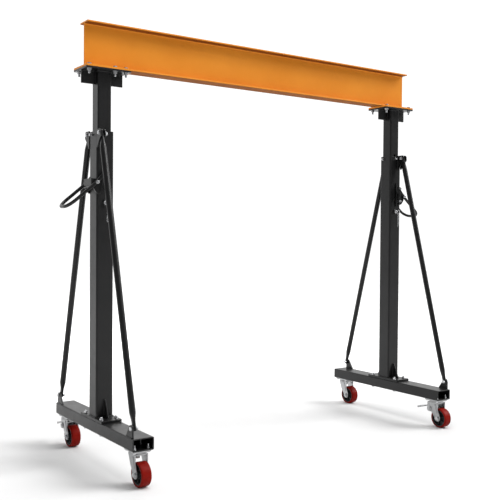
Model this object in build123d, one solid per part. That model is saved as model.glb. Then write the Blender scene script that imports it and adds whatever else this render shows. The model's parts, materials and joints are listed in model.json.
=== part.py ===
from build123d import *
import math
import os

# Portable gantry crane: an I-beam on two telescoping posts, each on a
# castered base beam.  Millimetres, +Z up, floor at z = 0.  +X runs along the
# beam, the bracing planes are parallel to YZ.

# ---------------------------------------------------------------- dimensions
SPAN = 2226.0            # post centre to post centre

# beam and its end plates
BEAM_L = 2438.0
BEAM_H = 244.0
FLANGE_W = 102.0
FLANGE_T = 8.5
WEB_T = 7.0
ROOT_R = 9.0
PLATE_X = 264.0          # end plate and head plate, along the beam
PLATE_Y = 181.0
END_T = 10.0
HEAD_T = 10.0
PLATE_IN = 4.0           # plate centre, inboard of the post centre
Z_JOINT = 2178.0         # bolted joint between end plate and head plate
HEAD_BOLT_X = 108.0
HEAD_BOLT_Y = 70.0
HEAD_BOLT_R = 7.0

# inner mast
MAST = 80.0
MAST_T = 6.0
MAST_R = 9.0
HOLE_R = 9.0
HOLE_PITCH = 100.0
HOLES_BELOW = 11         # holes below the pin at rest
HOLES_ABOVE = 4
WING_X = 122.0
WING_T = 10.0
WING_H = 70.0

# outer post
POST = 100.0
POST_T = 6.0
POST_R = 10.0
POST_TOP = 1840.0
PIN_Z = 1447.0
PIN_R = 8.0
SLOT_W = 16.0
SLOT_Z0 = 1484.0
SLOT_Z1 = 1650.0
SCREW_Z = 1822.0

# base
BASE_L = 1036.0
BASE_W = 120.0
BASE_Z0 = 184.0
BASE_Z1 = 251.0
BASE_T = 6.0
FOOT_T = 14.0
FOOT_Y = 145.0           # half length
FOOT_BOLT_X = 44.0
FOOT_BOLT_Y = 106.0
FOOT_BOLT_R = 6.0
GUSSET_Y = 50.0
GUSSET_H = 98.0

# braces
BRACE_U = 38.0           # brace plane, outboard of the post centre
BRACE_R = 17.0
BRACE_TOP = (82.0, 1826.0)
BRACE_BOT = (490.0, 299.0)
EAR_GAP = 18.0
EAR_T = 6.0
LUG_T = 9.0               # bottom brace lug
BRACE_BOLT_R = 6.0

# lifting lever, links and pins
PIVOT_U = 60.0
PIVOT_Z = 1556.5
PIVOT_R = 6.0
LIFT_U = 12.0
LIFT_Z = 1611.0
LINK_Z = 1522.0
LEVER_END_U = 222.0
LEVER_END_Z = 1422.0
LEVER_Y = 72.0
LEVER_R = 9.5
LEAR_T = 8.0
LEAR_U = 84.0            # outer face of the lever bracket

# casters
CASTER_Y = 452.0
TRAIL = 44.0             # all forks trail towards -Y
WHEEL_R = 63.5
WHEEL_W = 56.0
CORE_R = 53.5
FORK_IN = 32.0
FORK_T = 5.0
AXLE_R = 6.0
SLEEVE_R = 9.95
CBOLT_X = 39.0
CBOLT_Y = 44.0

# shift in Y that puts the origin under the middle of the whole object:
# the near wheels reach furthest in -Y, the far brake pedal in +Y
PEDAL_TIP = 144.0
Y_LOW = -CASTER_Y - TRAIL - WHEEL_R
Y_HIGH = CASTER_Y + PEDAL_TIP
Y0 = -(Y_LOW + Y_HIGH) / 2

os.makedirs("parts", exist_ok=True)


# ------------------------------------------------------------------- helpers
def box(x0, x1, y0, y1, z0, z1):
    return Pos((x0 + x1) / 2, (y0 + y1) / 2, (z0 + z1) / 2) * Box(
        abs(x1 - x0), abs(y1 - y0), abs(z1 - z0))


def rod(axis, r, a, b, lo, hi):
    """Cylinder along an axis.  a, b are the other two coordinates, in order."""
    h = hi - lo
    m = (lo + hi) / 2
    if axis == "x":
        return Pos(m, a, b) * Rot(0, 90, 0) * Cylinder(r, h)
    if axis == "y":
        return Pos(a, m, b) * Rot(90, 0, 0) * Cylinder(r, h)
    return Pos(a, b, m) * Cylinder(r, h)


def hexa(axis, r, a, b, lo, hi, turn=0):
    """Hexagonal prism, r across the corners."""
    p = extrude(RegularPolygon(r, 6, rotation=turn), amount=hi - lo)
    if axis == "x":
        return Pos(lo, a, b) * Rot(0, 90, 0) * p
    if axis == "y":
        return Pos(a, hi, b) * Rot(90, 0, 0) * p
    return Pos(a, b, lo) * p


def prism_yz(pts, x0, x1, radius=None):
    line = FilletPolyline(*pts, radius=radius, close=True) if radius else \
        Polyline(*pts, close=True)
    f = make_face(line.edges())
    pl = Plane(origin=(min(x0, x1), 0, 0), x_dir=(0, 1, 0), z_dir=(1, 0, 0))
    return extrude(pl * f, amount=abs(x1 - x0))


def prism_xz(pts, y0, y1, radius=None):
    line = FilletPolyline(*pts, radius=radius, close=True) if radius else \
        Polyline(*pts, close=True)
    f = make_face(line.edges())
    pl = Plane(origin=(0, max(y0, y1), 0), x_dir=(1, 0, 0), z_dir=(0, -1, 0))
    return extrude(pl * f, amount=abs(y1 - y0))


def tube(w, d, t, r, z0, z1):
    outer = RectangleRounded(w, d, r)
    inner = RectangleRounded(w - 2 * t, d - 2 * t, max(r - t, 1.0))
    return Pos(0, 0, z0) * extrude(outer - inner, amount=z1 - z0)


def nut(axis, r, bore, a, b, lo, hi, turn=0):
    return hexa(axis, r, a, b, lo, hi, turn) - rod(axis, bore, a, b, lo - 1, hi + 1)


def save(name, *solids):
    """Write one node.  Everything is shifted by Y0 on the way out."""
    flat = []
    for s in solids:
        flat += list(s.solids())
    flat = [Pos(0, Y0, 0) * s for s in flat]
    shape = flat[0] if len(flat) == 1 else Compound(children=flat)
    shape.label = name
    export_step(shape, f"parts/{name}.step")


Z_HEAD = Z_JOINT - HEAD_T            # mast top, underside of head plate
Z_BEAM = Z_JOINT + END_T             # underside of beam
Z_TOP = Z_BEAM + BEAM_H
FOOT_Z = BASE_Z1 + FOOT_T            # top of the foot plate
MAST_Z0 = FOOT_Z + 0.5

# ---------------------------------------------------------------------- beam
hw, hh = FLANGE_W / 2, BEAM_H / 2
wt = WEB_T / 2
fz = hh - FLANGE_T
sec = [(-hw, -hh), (hw, -hh), (hw, -fz), (wt, -fz), (wt, fz), (hw, fz),
       (hw, hh), (-hw, hh), (-hw, fz), (-wt, fz), (-wt, -fz), (-hw, -fz)]
radii = [1.0, 1.0, 3.0, ROOT_R, ROOT_R, 3.0, 1.0, 1.0, 3.0, ROOT_R, ROOT_R, 3.0]
section = make_face(FilletPolyline(*sec, radius=radii, close=True).edges())
beam = extrude(Plane(origin=(-BEAM_L / 2, 0, Z_BEAM + hh), x_dir=(0, 1, 0),
                     z_dir=(1, 0, 0)) * section, amount=BEAM_L)
save("beam", beam)


def head_bolt_points(sx):
    xc = sx * (SPAN / 2 - PLATE_IN)
    pts = [(xc + i * HEAD_BOLT_X, j * HEAD_BOLT_Y) for i in (-1, 1) for j in (-1, 1)]
    if sx < 0:                       # one more pair on the left-hand head
        pts += [(-SPAN / 2 + 46.0, j * HEAD_BOLT_Y) for j in (-1, 1)]
    return pts


end_plates, heads, head_bolts = [], [], []
for sx in (-1, 1):
    xp = sx * SPAN / 2
    xc = sx * (SPAN / 2 - PLATE_IN)
    upper = Pos(xc, 0, Z_JOINT) * extrude(
        RectangleRounded(PLATE_X, PLATE_Y, 4), amount=END_T)
    lower = Pos(xc, 0, Z_HEAD) * extrude(
        RectangleRounded(PLATE_X, PLATE_Y, 4), amount=HEAD_T)
    # wings welded under the head plate, either side of the mast
    for s in (-1, 1):
        a, b = xp + s * MAST / 2, xp + s * WING_X
        lower += box(min(a, b), max(a, b), -WING_T / 2, WING_T / 2,
                     Z_HEAD - WING_H, Z_HEAD)
    for (px, py) in head_bolt_points(sx):
        hole = rod("z", HEAD_BOLT_R, px, py, Z_HEAD - 1, Z_BEAM + 1)
        upper -= hole
        lower -= hole
        bolt = hexa("z", 12.5, px, py, Z_BEAM, Z_BEAM + 9) + \
            rod("z", HEAD_BOLT_R, px, py, Z_HEAD - 28, Z_BEAM)
        bolt = bolt + rod("z", 13.5, px, py, Z_BEAM, Z_BEAM + 2)
        head_bolts.append(bolt)
        head_bolts.append(nut("z", 12.5, HEAD_BOLT_R, px, py, Z_HEAD - 12, Z_HEAD, 15))
    end_plates.append(upper)
    heads.append(lower)
save("beam_end_plates", *end_plates)
save("post_heads", *heads)
save("head_bolts", *head_bolts)


# ------------------------------------------------------------- one whole leg
def leg(sx, side):
    X = sx * SPAN / 2

    def ox(u):
        """X of a point u mm outboard of the post centre."""
        return X + sx * u

    # inner mast, with a row of pin holes through its +-Y walls
    mast = Pos(X, 0, 0) * tube(MAST, MAST, MAST_T, MAST_R, MAST_Z0, Z_HEAD)
    for k in range(-HOLES_ABOVE, HOLES_BELOW + 1):
        mast -= rod("y", HOLE_R, X, PIN_Z - k * HOLE_PITCH, -MAST, MAST)
    save(f"inner_mast_{side}", mast)

    # outer post with the lifting slot and the pin bosses
    post = Pos(X, 0, 0) * tube(POST, POST, POST_T, POST_R, FOOT_Z, POST_TOP)
    h = POST / 2
    for s in (-1, 1):
        lo, hi = sorted((s * h, s * (h + 9)))
        post += rod("y", 16.0, X, PIN_Z, lo, hi)
        lo, hi = sorted((s * (h - POST_T - 1), s * (h + 12)))
        post -= rod("y", PIN_R + 0.06, X, PIN_Z, lo, hi)
        slot = box(X - SLOT_W / 2, X + SLOT_W / 2, lo, hi,
                   SLOT_Z0 + SLOT_W / 2, SLOT_Z1 - SLOT_W / 2)
        slot += rod("y", SLOT_W / 2, X, SLOT_Z0 + SLOT_W / 2, lo, hi)
        slot += rod("y", SLOT_W / 2, X, SLOT_Z1 - SLOT_W / 2, lo, hi)
        post -= slot
        post -= rod("y", 5.0, X, SCREW_Z, lo, hi)
        lo, hi = sorted((X + s * (h - POST_T - 1), X + s * (h + 12)))
        post -= rod("x", 5.0, 20.0, SCREW_Z, lo, hi)
    save(f"outer_post_{side}", post)

    # guide screws: one on each face near the post's top
    screws = []
    tip = MAST / 2 + 0.6
    for s in (-1, 1):
        lo, hi = sorted((s * tip, s * (h + 9)))
        a = rod("y", 5.0, X, SCREW_Z, lo, hi)
        lo, hi = sorted((s * (h + 9), s * (h + 15)))
        a += hexa("y", 8.0, X, SCREW_Z, lo, hi)
        lo, hi = sorted((s * h, s * (h + 5)))
        screws += [a, nut("y", 8.5, 5.0, X, SCREW_Z, lo, hi, 20)]
        lo, hi = sorted((X + s * tip, X + s * (h + 9)))
        a = rod("x", 5.0, 20.0, SCREW_Z, lo, hi)
        lo, hi = sorted((X + s * (h + 9), X + s * (h + 15)))
        a += hexa("x", 8.0, 20.0, SCREW_Z, lo, hi)
        lo, hi = sorted((X + s * h, X + s * (h + 5)))
        screws += [a, nut("x", 8.5, 5.0, 20.0, SCREW_Z, lo, hi, 20)]
    save(f"guide_screws_{side}", *screws)

    # base beam, an open-ended rectangular tube
    w, d = BASE_W, BASE_Z1 - BASE_Z0
    outer = RectangleRounded(w, d, 8)
    inner = RectangleRounded(w - 2 * BASE_T, d - 2 * BASE_T, 3)
    base = extrude(Plane(origin=(X, BASE_L / 2, (BASE_Z0 + BASE_Z1) / 2),
                         x_dir=(1, 0, 0), z_dir=(0, -1, 0)) * (outer - inner),
                   amount=BASE_L)
    foot = Pos(X, 0, BASE_Z1) * extrude(
        RectangleRounded(BASE_W, 2 * FOOT_Y, 5), amount=FOOT_T)
    bolts = []
    for i in (-1, 1):
        for j in (-1, 1):
            bx, by = X + i * FOOT_BOLT_X, j * FOOT_BOLT_Y
            hole = rod("z", FOOT_BOLT_R, bx, by, BASE_Z0 - 1, FOOT_Z + 1)
            base -= hole
            foot -= hole
            b = hexa("z", 10.5, bx, by, BASE_Z0 - 7.5, BASE_Z0) + \
                rod("z", FOOT_BOLT_R, bx, by, BASE_Z0 - 1, FOOT_Z + 16)
            bolts += [b, nut("z", 10.5, FOOT_BOLT_R, bx, by, FOOT_Z, FOOT_Z + 10, 10)]
    for j in (-1, 1):
        g = [(j * h, FOOT_Z), (j * (h + GUSSET_Y), FOOT_Z),
             (j * (h + GUSSET_Y), FOOT_Z + 8), (j * (h + 10), FOOT_Z + GUSSET_H),
             (j * h, FOOT_Z + GUSSET_H)]
        foot += prism_yz(g, X - 3, X + 3)
    for sy in (-1, 1):
        for i in (-1, 1):
            for j in (-1, 1):
                base -= rod("z", 5.0, X + i * CBOLT_X, sy * CASTER_Y + j * CBOLT_Y,
                            BASE_Z0 - 1, BASE_Z0 + BASE_T + 1)
    save(f"base_beam_{side}", base)
    save(f"foot_plate_{side}", foot)
    save(f"foot_bolts_{side}", *bolts)

    # braces: tubes with flattened ends, in a plane outboard of the post centre
    xb = ox(BRACE_U)
    (y1, z1), (y2, z2) = BRACE_TOP, BRACE_BOT
    run = math.hypot(y2 - y1, z2 - z1)
    bolts, brackets = [], []
    for sy, tag in ((-1, "near"), (1, "far")):
        a = Vector(xb, sy * y1, z1)
        b = Vector(xb, sy * y2, z2)
        dirn = (b - a).normalized()
        pl = Plane(origin=a, x_dir=(1, 0, 0), z_dir=dirn)
        flat, blend, over = 42.0, 38.0, 19.0
        body = pl * (Pos(0, 0, flat + blend) * (
            extrude(Circle(BRACE_R), amount=run - 2 * (flat + blend))
            - extrude(Circle(BRACE_R - 3), amount=run - 2 * (flat + blend))))
        end1 = pl * (Pos(0, 0, -over) * extrude(
            RectangleRounded(EAR_GAP - 2, 31, 7.5), amount=flat + over))
        loft1 = pl * loft([Pos(0, 0, flat) * RectangleRounded(EAR_GAP - 2, 31, 7.5),
                           Pos(0, 0, flat + blend) * Circle(BRACE_R)])
        end2 = pl * (Pos(0, 0, run - flat) * extrude(
            RectangleRounded(EAR_GAP - 2, 26, 7.5), amount=flat + 14.0))
        loft2 = pl * loft([Pos(0, 0, run - flat - blend) * Circle(BRACE_R),
                           Pos(0, 0, run - flat) * RectangleRounded(EAR_GAP - 2, 26, 7.5)])
        brace = body + end1 + loft1 + end2 + loft2
        for p in (a, b):
            brace -= rod("x", BRACE_BOLT_R, p.Y, p.Z, xb - 40, xb + 40)
        save(f"brace_{tag}_{side}", brace)

        # top clevis on the post's Y face, and a single lug on the base beam
        top = [(sy * 50, 1748), (sy * 50, 1846), (sy * 106, 1846),
               (sy * 108, 1808), (sy * 82, 1782), (sy * 58, 1748)]
        rt = [1.0, 1.0, 14.0, 12.0, 8.0, 3.0]
        bot = [(sy * 430, BASE_Z1), (sy * 503, BASE_Z1), (sy * 503, 302),
               (sy * 497, 316), (sy * 474, 316)]
        rb = [1.0, 1.0, 4.0, 9.0, 12.0]
        c_top = None
        for s in (-1, 1):
            xa = xb + s * EAR_GAP / 2
            xo = xa + s * EAR_T
            e = prism_yz(top, xa, xo, rt) - rod("x", BRACE_BOLT_R, a.Y, a.Z, xb - 40, xb + 40)
            c_top = e if c_top is None else c_top + e
        lo, hi = sorted((sy * 50, sy * 56))
        c_top += box(xb - EAR_GAP / 2 - 1, xb + 12.0 - 0.2, lo, hi, 1756, 1838)
        xa = xb + sx * EAR_GAP / 2
        c_bot = prism_yz(bot, xa, xa + sx * LUG_T, rb) \
            - rod("x", BRACE_BOLT_R, b.Y, b.Z, xb - 40, xb + 40)
        brackets += [c_top, c_bot]
        # head outboard, nut inboard; spans are measured from the brace plane
        for p, head, back in ((a, EAR_GAP / 2 + EAR_T, EAR_GAP / 2 + EAR_T),
                              (b, EAR_GAP / 2 + LUG_T, EAR_GAP / 2 - 1)):
            lo, hi = sorted((xb + sx * head, xb + sx * (head + 7)))
            bolt = hexa("x", 10.5, p.Y, p.Z, lo, hi)
            lo, hi = sorted((xb + sx * (head + 1), xb - sx * (back + 13)))
            bolt += rod("x", BRACE_BOLT_R, p.Y, p.Z, lo, hi)
            lo, hi = sorted((xb - sx * back, xb - sx * (back + 9)))
            bolts += [bolt, nut("x", 10.5, BRACE_BOLT_R, p.Y, p.Z, lo, hi, 12)]
    save(f"brace_brackets_{side}", *brackets)
    save(f"brace_bolts_{side}", *bolts)

    # lever bracket: a bent U whose arms are welded to the post's Y faces and
    # whose web stands outboard of the post
    w2 = h + LEAR_T
    prof = [(18, PIVOT_Z + 9), (18, PIVOT_Z + 20), (LEAR_U, PIVOT_Z + 22),
            (LEAR_U, PIVOT_Z - 17), (54, PIVOT_Z - 57), (32, PIVOT_Z - 57)]
    shape = prism_xz([(ox(u), z) for u, z in prof], -w2, w2, [3, 4, 2, 8, 8, 6])
    outer = [(ox(10), -w2), (ox(LEAR_U), -w2), (ox(LEAR_U), w2), (ox(10), w2)]
    inner = [(ox(8), -h), (ox(LEAR_U - 6.5), -h), (ox(LEAR_U - 6.5), h), (ox(8), h)]
    band = make_face(FilletPolyline(*outer, radius=[1, 12, 12, 1], close=True).edges()) \
        - make_face(FilletPolyline(*inner, radius=[0.5, 5, 5, 0.5], close=True).edges())
    bracket = shape & (Pos(0, 0, PIVOT_Z - 80) * extrude(band, amount=120))
    bracket -= rod("y", PIVOT_R, ox(PIVOT_U), PIVOT_Z, -w2 - 1, w2 + 1)
    save(f"lever_bracket_{side}", bracket)

    # pivot bolt, right across in front of the outboard face
    face = LEVER_Y + LEVER_R + 1.0
    bolt = rod("y", PIVOT_R, ox(PIVOT_U), PIVOT_Z, -face - 1, face + 11)
    bolt += hexa("y", 9.5, ox(PIVOT_U), PIVOT_Z, -face - 7, -face - 0.3)
    save(f"lever_pivot_{side}", bolt,
         nut("y", 9.5, PIVOT_R, ox(PIVOT_U), PIVOT_Z, face + 0.3, face + 8.5, 12))

    # lifting lever: one bent round bar straddling the post, bossed at the pivot
    dv = math.hypot(PIVOT_U - LIFT_U, LIFT_Z - PIVOT_Z)
    eu = LIFT_U - 11.0 * (PIVOT_U - LIFT_U) / dv
    ez = LIFT_Z + 11.0 * (LIFT_Z - PIVOT_Z) / dv
    side_pts = [(eu, ez), (PIVOT_U, PIVOT_Z), (LEVER_END_U, LEVER_END_Z)]
    pts3 = [(ox(u), -LEVER_Y, z) for u, z in side_pts] + \
        [(ox(u), LEVER_Y, z) for u, z in reversed(side_pts)]
    path = FilletPolyline(*pts3, radius=[70, 58, 58, 70])
    lever = sweep(Plane(origin=path @ 0, z_dir=path % 0) * Circle(LEVER_R), path=path)
    for s in (-1, 1):
        lo, hi = sorted((s * (w2 + 0.3), s * face))
        lever += rod("y", 13.0, ox(PIVOT_U), PIVOT_Z, lo, hi)
        lo, hi = sorted((s * LEVER_Y, s * (LEVER_Y + 21)))
        lever += rod("y", 5.0, ox(LIFT_U), LIFT_Z, lo, hi)
        lo, hi = sorted((s * (LEVER_Y + 15.6), s * (LEVER_Y + 21)))
        lever += hexa("y", 8.5, ox(LIFT_U), LIFT_Z, lo, hi)
    for s in (-1, 1):
        lo, hi = sorted((s * (h + 1), s * (LEVER_Y + 20)))
        lever -= rod("y", PIVOT_R + 0.06, ox(PIVOT_U), PIVOT_Z, lo, hi)
    save(f"lifting_lever_{side}", lever)

    # lifting links that hang from the lever's inner ends, with their pins
    links = []
    for s in (-1, 1):
        ya, yb = s * (LEVER_Y + 9.9), s * (LEVER_Y + 15.0)
        lo, hi = sorted((ya, yb))
        cx = ox(LIFT_U)
        bar = box(cx - 10, cx + 10, lo, hi, LINK_Z, LIFT_Z)
        bar += rod("y", 10.0, cx, LIFT_Z, lo, hi)
        bar += rod("y", 15.0, cx, LINK_Z, lo, hi)
        bar -= rod("y", 5.06, cx, LIFT_Z, lo - 1, hi + 1)
        lo, hi = sorted((s * (LEVER_Y - 9.5), s * (LEVER_Y + 25)))
        bar += rod("y", 5.0, cx, LINK_Z, lo, hi)
        links.append(bar)
    save(f"lifting_links_{side}", *links)

    # lock pins, one in each boss
    for s, tag in ((-1, "near"), (1, "far")):
        lo, hi = sorted((s * (h - 5.0), s * (h + 12)))
        pin = rod("y", PIN_R, X, PIN_Z, lo, hi)
        lo, hi = sorted((s * (h + 9.8), s * (h + 12.8)))
        pin += rod("y", 12.5, X, PIN_Z, lo, hi)
        lo, hi = sorted((s * (h + 12), s * (h + 24)))
        pin += rod("y", 5.5, X, PIN_Z, lo, hi)
        pin -= rod("z", 3.0, X, s * (h + 18), PIN_Z - 12, PIN_Z + 12)
        save(f"lock_pin_{tag}_{side}", pin)

    # pull ring, short chain and hairpin clip on the near pin
    RR, rr = 13.5, 1.4
    yc = -(h + 18 + RR)
    ring = Pos(X, yc, PIN_Z) * Rot(0, 90, 0) * Torus(RR, rr)
    parts = [ring]
    R, r = 5.2, 1.3
    z = PIN_Z - RR + rr + r + 0.3 - R
    n = 7
    for i in range(n):
        turn = Rot(90, 0, 0) if i % 2 == 0 else Rot(0, 90, 0)
        parts.append(Pos(X, yc, z) * turn * Torus(R, r))
        z -= 2 * R - 2 * r - 0.25
    turn = Rot(90, 0, 0) if n % 2 == 0 else Rot(0, 90, 0)
    clip = Pos(X, yc, z) * turn * Torus(R, r)
    clip += rod("z", 2.2, X, yc, z - R - 16, z - R + 1.0)
    parts.append(clip)
    save(f"pin_chain_{side}", *parts)

    # caster top plates with their king pins, and the plate bolts
    plates, cbolts = [], []
    for sy in (-1, 1):
        cy = sy * CASTER_Y
        pl = Pos(X, cy, BASE_Z0 - 8) * extrude(RectangleRounded(100, 118, 8), amount=8)
        pl += rod("z", 42.0, X, cy, BASE_Z0 - 13.7, BASE_Z0 - 7)
        pl += rod("z", 7.0, X, cy, BASE_Z0 - 50, BASE_Z0 - 7)
        pl += hexa("z", 14.5, X, cy, BASE_Z0 - 47, BASE_Z0 - 34)
        pl += rod("z", 15.5, X, cy, BASE_Z0 - 34, BASE_Z0 - 26.6)
        for i in (-1, 1):
            for j in (-1, 1):
                bx, by = X + i * CBOLT_X, cy + j * CBOLT_Y
                pl -= rod("z", 5.0, bx, by, BASE_Z0 - 9, BASE_Z0 + 1)
                b = hexa("z", 9.0, bx, by, BASE_Z0 - 14.5, BASE_Z0 - 8) + \
                    rod("z", 5.0, bx, by, BASE_Z0 - 9, BASE_Z0 + 30)
                cbolts += [b, nut("z", 9.0, 5.0, bx, by, BASE_Z0 + BASE_T,
                                  BASE_Z0 + BASE_T + 9, 17)]
        plates.append(pl)
    save(f"caster_plates_{side}", *plates)
    save(f"caster_bolts_{side}", *cbolts)

    # the two swivel casters
    for sy, tag in ((-1, "near"), (1, "far")):
        caster(X, sy * CASTER_Y, f"{tag}_{side}", (sx, sy) in ((1, -1), (-1, 1)))


PEDAL_Y, PEDAL_Z = 26.0, 117.0
CROWN_Z0 = BASE_Z0 - 26.0
CROWN_Z1 = BASE_Z0 - 19.5


def caster(X, cy, tag, braked):
    ay, az = cy - TRAIL, WHEEL_R
    low = [(-TRAIL + 21, 43), (-TRAIL - 21, 43), (-TRAIL - 20, 80), (-46, 118), (-46, CROWN_Z1)]
    if braked:
        prof = [(44, CROWN_Z1), (46, 98), (7, 99), (-TRAIL + 24, 66)] + low
        rr = [6, 18, 5, 12, 19, 19, 12, 20, 3]
    else:
        prof = [(36, CROWN_Z1), (24, 146), (6, 104), (-TRAIL + 24, 66)] + low
        rr = [6, 12, 20, 12, 19, 19, 12, 20, 3]
    pts = [(cy + a, b) for a, b in prof]
    fork = Pos(X, cy, CROWN_Z0) * Cylinder(46, CROWN_Z1 - CROWN_Z0,
                                           align=(Align.CENTER, Align.CENTER, Align.MIN))
    fork = fork + box(X - FORK_IN - FORK_T, X + FORK_IN + FORK_T, cy - 44,
                      cy + (40 if braked else 32), CROWN_Z0, CROWN_Z1)
    for s in (-1, 1):
        fork += prism_yz(pts, X + s * FORK_IN, X + s * (FORK_IN + FORK_T), rr)
    fork += rod("z", 44.0, X, cy, CROWN_Z1 - 1, BASE_Z0 - 14.1)
    fork -= rod("z", 7.06, X, cy, CROWN_Z0 - 1, BASE_Z0 - 13)
    # pressed rib down the outside of each fork leg
    for s in (-1, 1):
        xo = X + s * (FORK_IN + FORK_T)
        rib = [(cy - 26, CROWN_Z0 - 4), (cy - 14, CROWN_Z0 - 4), (cy - 28, 92), (cy - 42, 92)]
        fork += prism_yz(rib, xo - s * 1.0, xo + s * 2.5, 3)
    fork -= rod("x", AXLE_R, ay, az, X - 60, X + 60)
    if braked:
        fork -= rod("x", 5.06, cy + PEDAL_Y, PEDAL_Z, X - 60, X + 60)
    save(f"fork_{tag}", fork)

    # axle bolt with its spacer sleeve, and the nut
    f = FORK_IN + FORK_T
    axle = rod("x", SLEEVE_R, ay, az, X - FORK_IN, X + FORK_IN)
    axle += rod("x", AXLE_R, ay, az, X - f - 12, X + f + 1)
    axle += hexa("x", 12.5, ay, az, X + f, X + f + 8)
    save(f"axle_{tag}", axle, nut("x", 13.5, AXLE_R, ay, az, X - f - 10, X - f, 8))

    # wheel: cast core with a moulded tread
    bore = 10.03
    hub = 20.0
    rim = WHEEL_W / 2 - 1.5
    pts = [(-30, bore), (30, bore), (30, hub), (7, hub + 3), (7, CORE_R - 8), (rim, CORE_R - 6),
           (rim, CORE_R), (-rim, CORE_R), (-rim, CORE_R - 6), (-7, CORE_R - 8), (-7, hub + 3),
           (-30, hub)]
    core = revolve(make_face(Polyline(*pts, close=True).edges()), Axis.X)
    core = Pos(X, ay, az) * core
    save(f"wheel_core_{tag}", core)
    w = WHEEL_W / 2
    pts = [(-w, CORE_R), (w, CORE_R), (w, WHEEL_R - 4), (w - 6, WHEEL_R),
           (-w + 6, WHEEL_R), (-w, WHEEL_R - 4)]
    rr = [0.5, 0.5, 4, 6, 6, 4]
    tread = revolve(make_face(FilletPolyline(*pts, radius=rr, close=True).edges()), Axis.X)
    save(f"wheel_tread_{tag}", Pos(X, ay, az) * tread)

    if braked:
        py, pz = cy + PEDAL_Y, PEDAL_Z
        ped = rod("x", 10.0, py, pz, X - FORK_IN + 0.7, X + FORK_IN - 0.7)
        ped += rod("x", 5.0, py, pz, X - f - 1.2, X + f + 1.2)
        # round side caps outside the fork, on the pedal's spindle
        for s in (-1, 1):
            lo, hi = sorted((X + s * (f + 0.6), X + s * (f + 5.0)))
            ped += rod("x", 17.0, py, pz, lo, hi)
            lo, hi = sorted((X + s * (f + 4.0), X + s * (f + 8.0)))
            ped += rod("x", 7.0, py, pz, lo, hi)
        tip = PEDAL_TIP - PEDAL_Y
        up = [(0, 10), (22, 15), (46, 15), (76, 4), (tip, -3)]
        dn = [(tip, -15), (tip - 6, -15), (tip - 7, -9), (76, -4), (45, 8), (20, 8), (0, 2)]
        pts = [(py + a, pz + b) for a, b in up + dn]
        tongue = prism_yz(pts, X - 25, X + 25)
        tongue = tongue - box(X - 60, X - 19, py + 14, py + 52, 60, 160) \
            - box(X + 19, X + 60, py + 14, py + 52, 60, 160)
        ped += tongue
        # shoe that faces the tread
        vy, vz = ay - py, az - pz
        dist = math.hypot(vy, vz)
        vy, vz = vy / dist, vz / dist
        ny, nz = -vz, vy
        reach = dist - WHEEL_R - 3.0
        q = [(0, -9), (reach, -7), (reach, 7), (0, 9)]
        pts = [(py + vy * a + ny * b, pz + vz * a + nz * b) for a, b in q]
        ped += prism_yz(pts, X - 20, X + 20)
        save(f"brake_pedal_{tag}", ped)


leg(-1, "left")
leg(1, "right")
print("Y0", Y0, "top", Z_TOP)
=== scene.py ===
import json
import math

import bpy
import bmesh
import numpy as np
from mathutils import Matrix, Vector


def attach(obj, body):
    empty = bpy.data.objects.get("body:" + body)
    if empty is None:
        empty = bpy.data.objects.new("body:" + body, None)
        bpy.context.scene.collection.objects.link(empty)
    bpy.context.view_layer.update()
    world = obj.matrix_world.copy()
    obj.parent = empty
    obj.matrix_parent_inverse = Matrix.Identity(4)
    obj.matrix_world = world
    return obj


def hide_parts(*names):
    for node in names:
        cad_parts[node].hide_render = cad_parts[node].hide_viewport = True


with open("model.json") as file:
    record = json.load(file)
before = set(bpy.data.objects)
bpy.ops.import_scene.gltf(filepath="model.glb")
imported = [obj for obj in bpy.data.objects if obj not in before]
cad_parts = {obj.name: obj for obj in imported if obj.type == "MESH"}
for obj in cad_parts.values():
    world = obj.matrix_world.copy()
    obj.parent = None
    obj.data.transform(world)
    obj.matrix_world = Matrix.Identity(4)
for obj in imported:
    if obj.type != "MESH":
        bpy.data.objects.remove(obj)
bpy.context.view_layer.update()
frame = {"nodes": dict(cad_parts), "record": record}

NODES = frame["nodes"]

# ------------------------------------------------------------------ dimensions
# millimetres, as in the CAD source; y is measured from the beam's centre line
Y0 = -18.25
SX = 1113.0          # post centre
PLATE_IN = 4.0
BRACE_U = 38.0
CASTER_Y = 452.0
TRAIL = 44.0
WHEEL_R = 63.5
rng = np.random.default_rng(7)


def P(x, y, z):
    """A point in millimetres, y from the beam's centre line, in the row frame."""
    return np.array((x, y + Y0, z), float) / 1000.0


# ---------------------------------------------------------------------- camera
cam_data = bpy.data.cameras.new("camera")
cam = bpy.data.objects.new("camera", cam_data)
bpy.context.scene.collection.objects.link(cam)
cam_data.sensor_width = 36.0
cam_data.lens = 56.32
cam_data.clip_start, cam_data.clip_end = 0.05, 100.0
yaw, pitch, roll = (math.radians(a) for a in (34.862, -1.166, 0.41))
fwd = Vector((math.sin(yaw) * math.cos(pitch), math.cos(yaw) * math.cos(pitch), math.sin(pitch)))
right = Vector((math.cos(yaw), -math.sin(yaw), 0))
up = right.cross(fwd)
r_ = right * math.cos(roll) + up * math.sin(roll)
u_ = up * math.cos(roll) - right * math.sin(roll)
m = Matrix((r_, u_, -fwd)).transposed().to_4x4()
m.translation = Vector((-2.9173, -4.05185, 1.2812))
cam.matrix_world = m
bpy.context.scene.camera = cam
bpy.context.scene.view_settings.view_transform = "Standard"
bpy.context.scene.view_settings.look = "None"


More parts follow.
